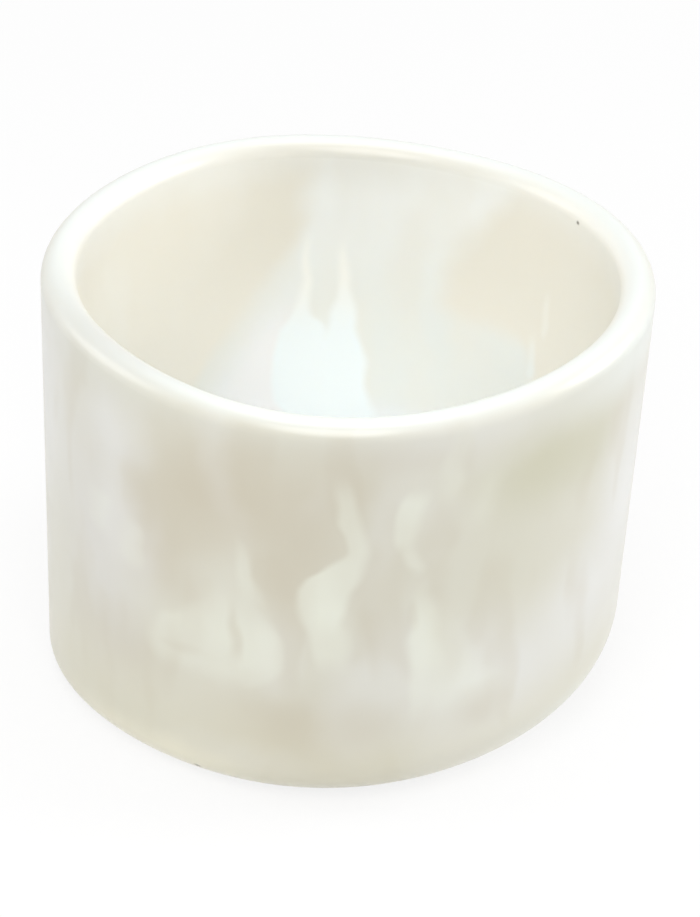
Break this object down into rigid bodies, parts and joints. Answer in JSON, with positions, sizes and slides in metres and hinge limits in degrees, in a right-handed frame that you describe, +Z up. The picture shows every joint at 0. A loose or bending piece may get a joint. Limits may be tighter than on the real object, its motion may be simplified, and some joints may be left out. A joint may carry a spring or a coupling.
{
  "type": "singing bowl",
  "caption": "Thick-walled, pearl-white singing bowl with straight sides, a full-round rim and a rounded base edge, standing on a soft ring in its underside.",
  "frame": {"origin": "centre of the rest ring's flat sole, on the surface that the bowl stands on", "axes": "+Z up along the bowl's axis; -Y is the side with the widest view in the picture; +X is to the right seen from there, on the side where the base edge has its largest rounding"},
  "size_m": [0.1506, 0.1508, 0.1141],
  "materials": {
    "bowl": "glossy, pearly, with pale flame-shaped swirls",
    "rest_ring": "matte silicone"
  },
  "bodies": {
    "ring": {"rest_ring": "rest_ring"},
    "bowl": {"bowl": "bowl"}
  },
  "joints": [
    {"name": "bowl_lift", "type": "slide", "parent": "ring", "child": "bowl", "axis": [0, 0, 1], "range_m": [0, 0.05]}
  ]
}
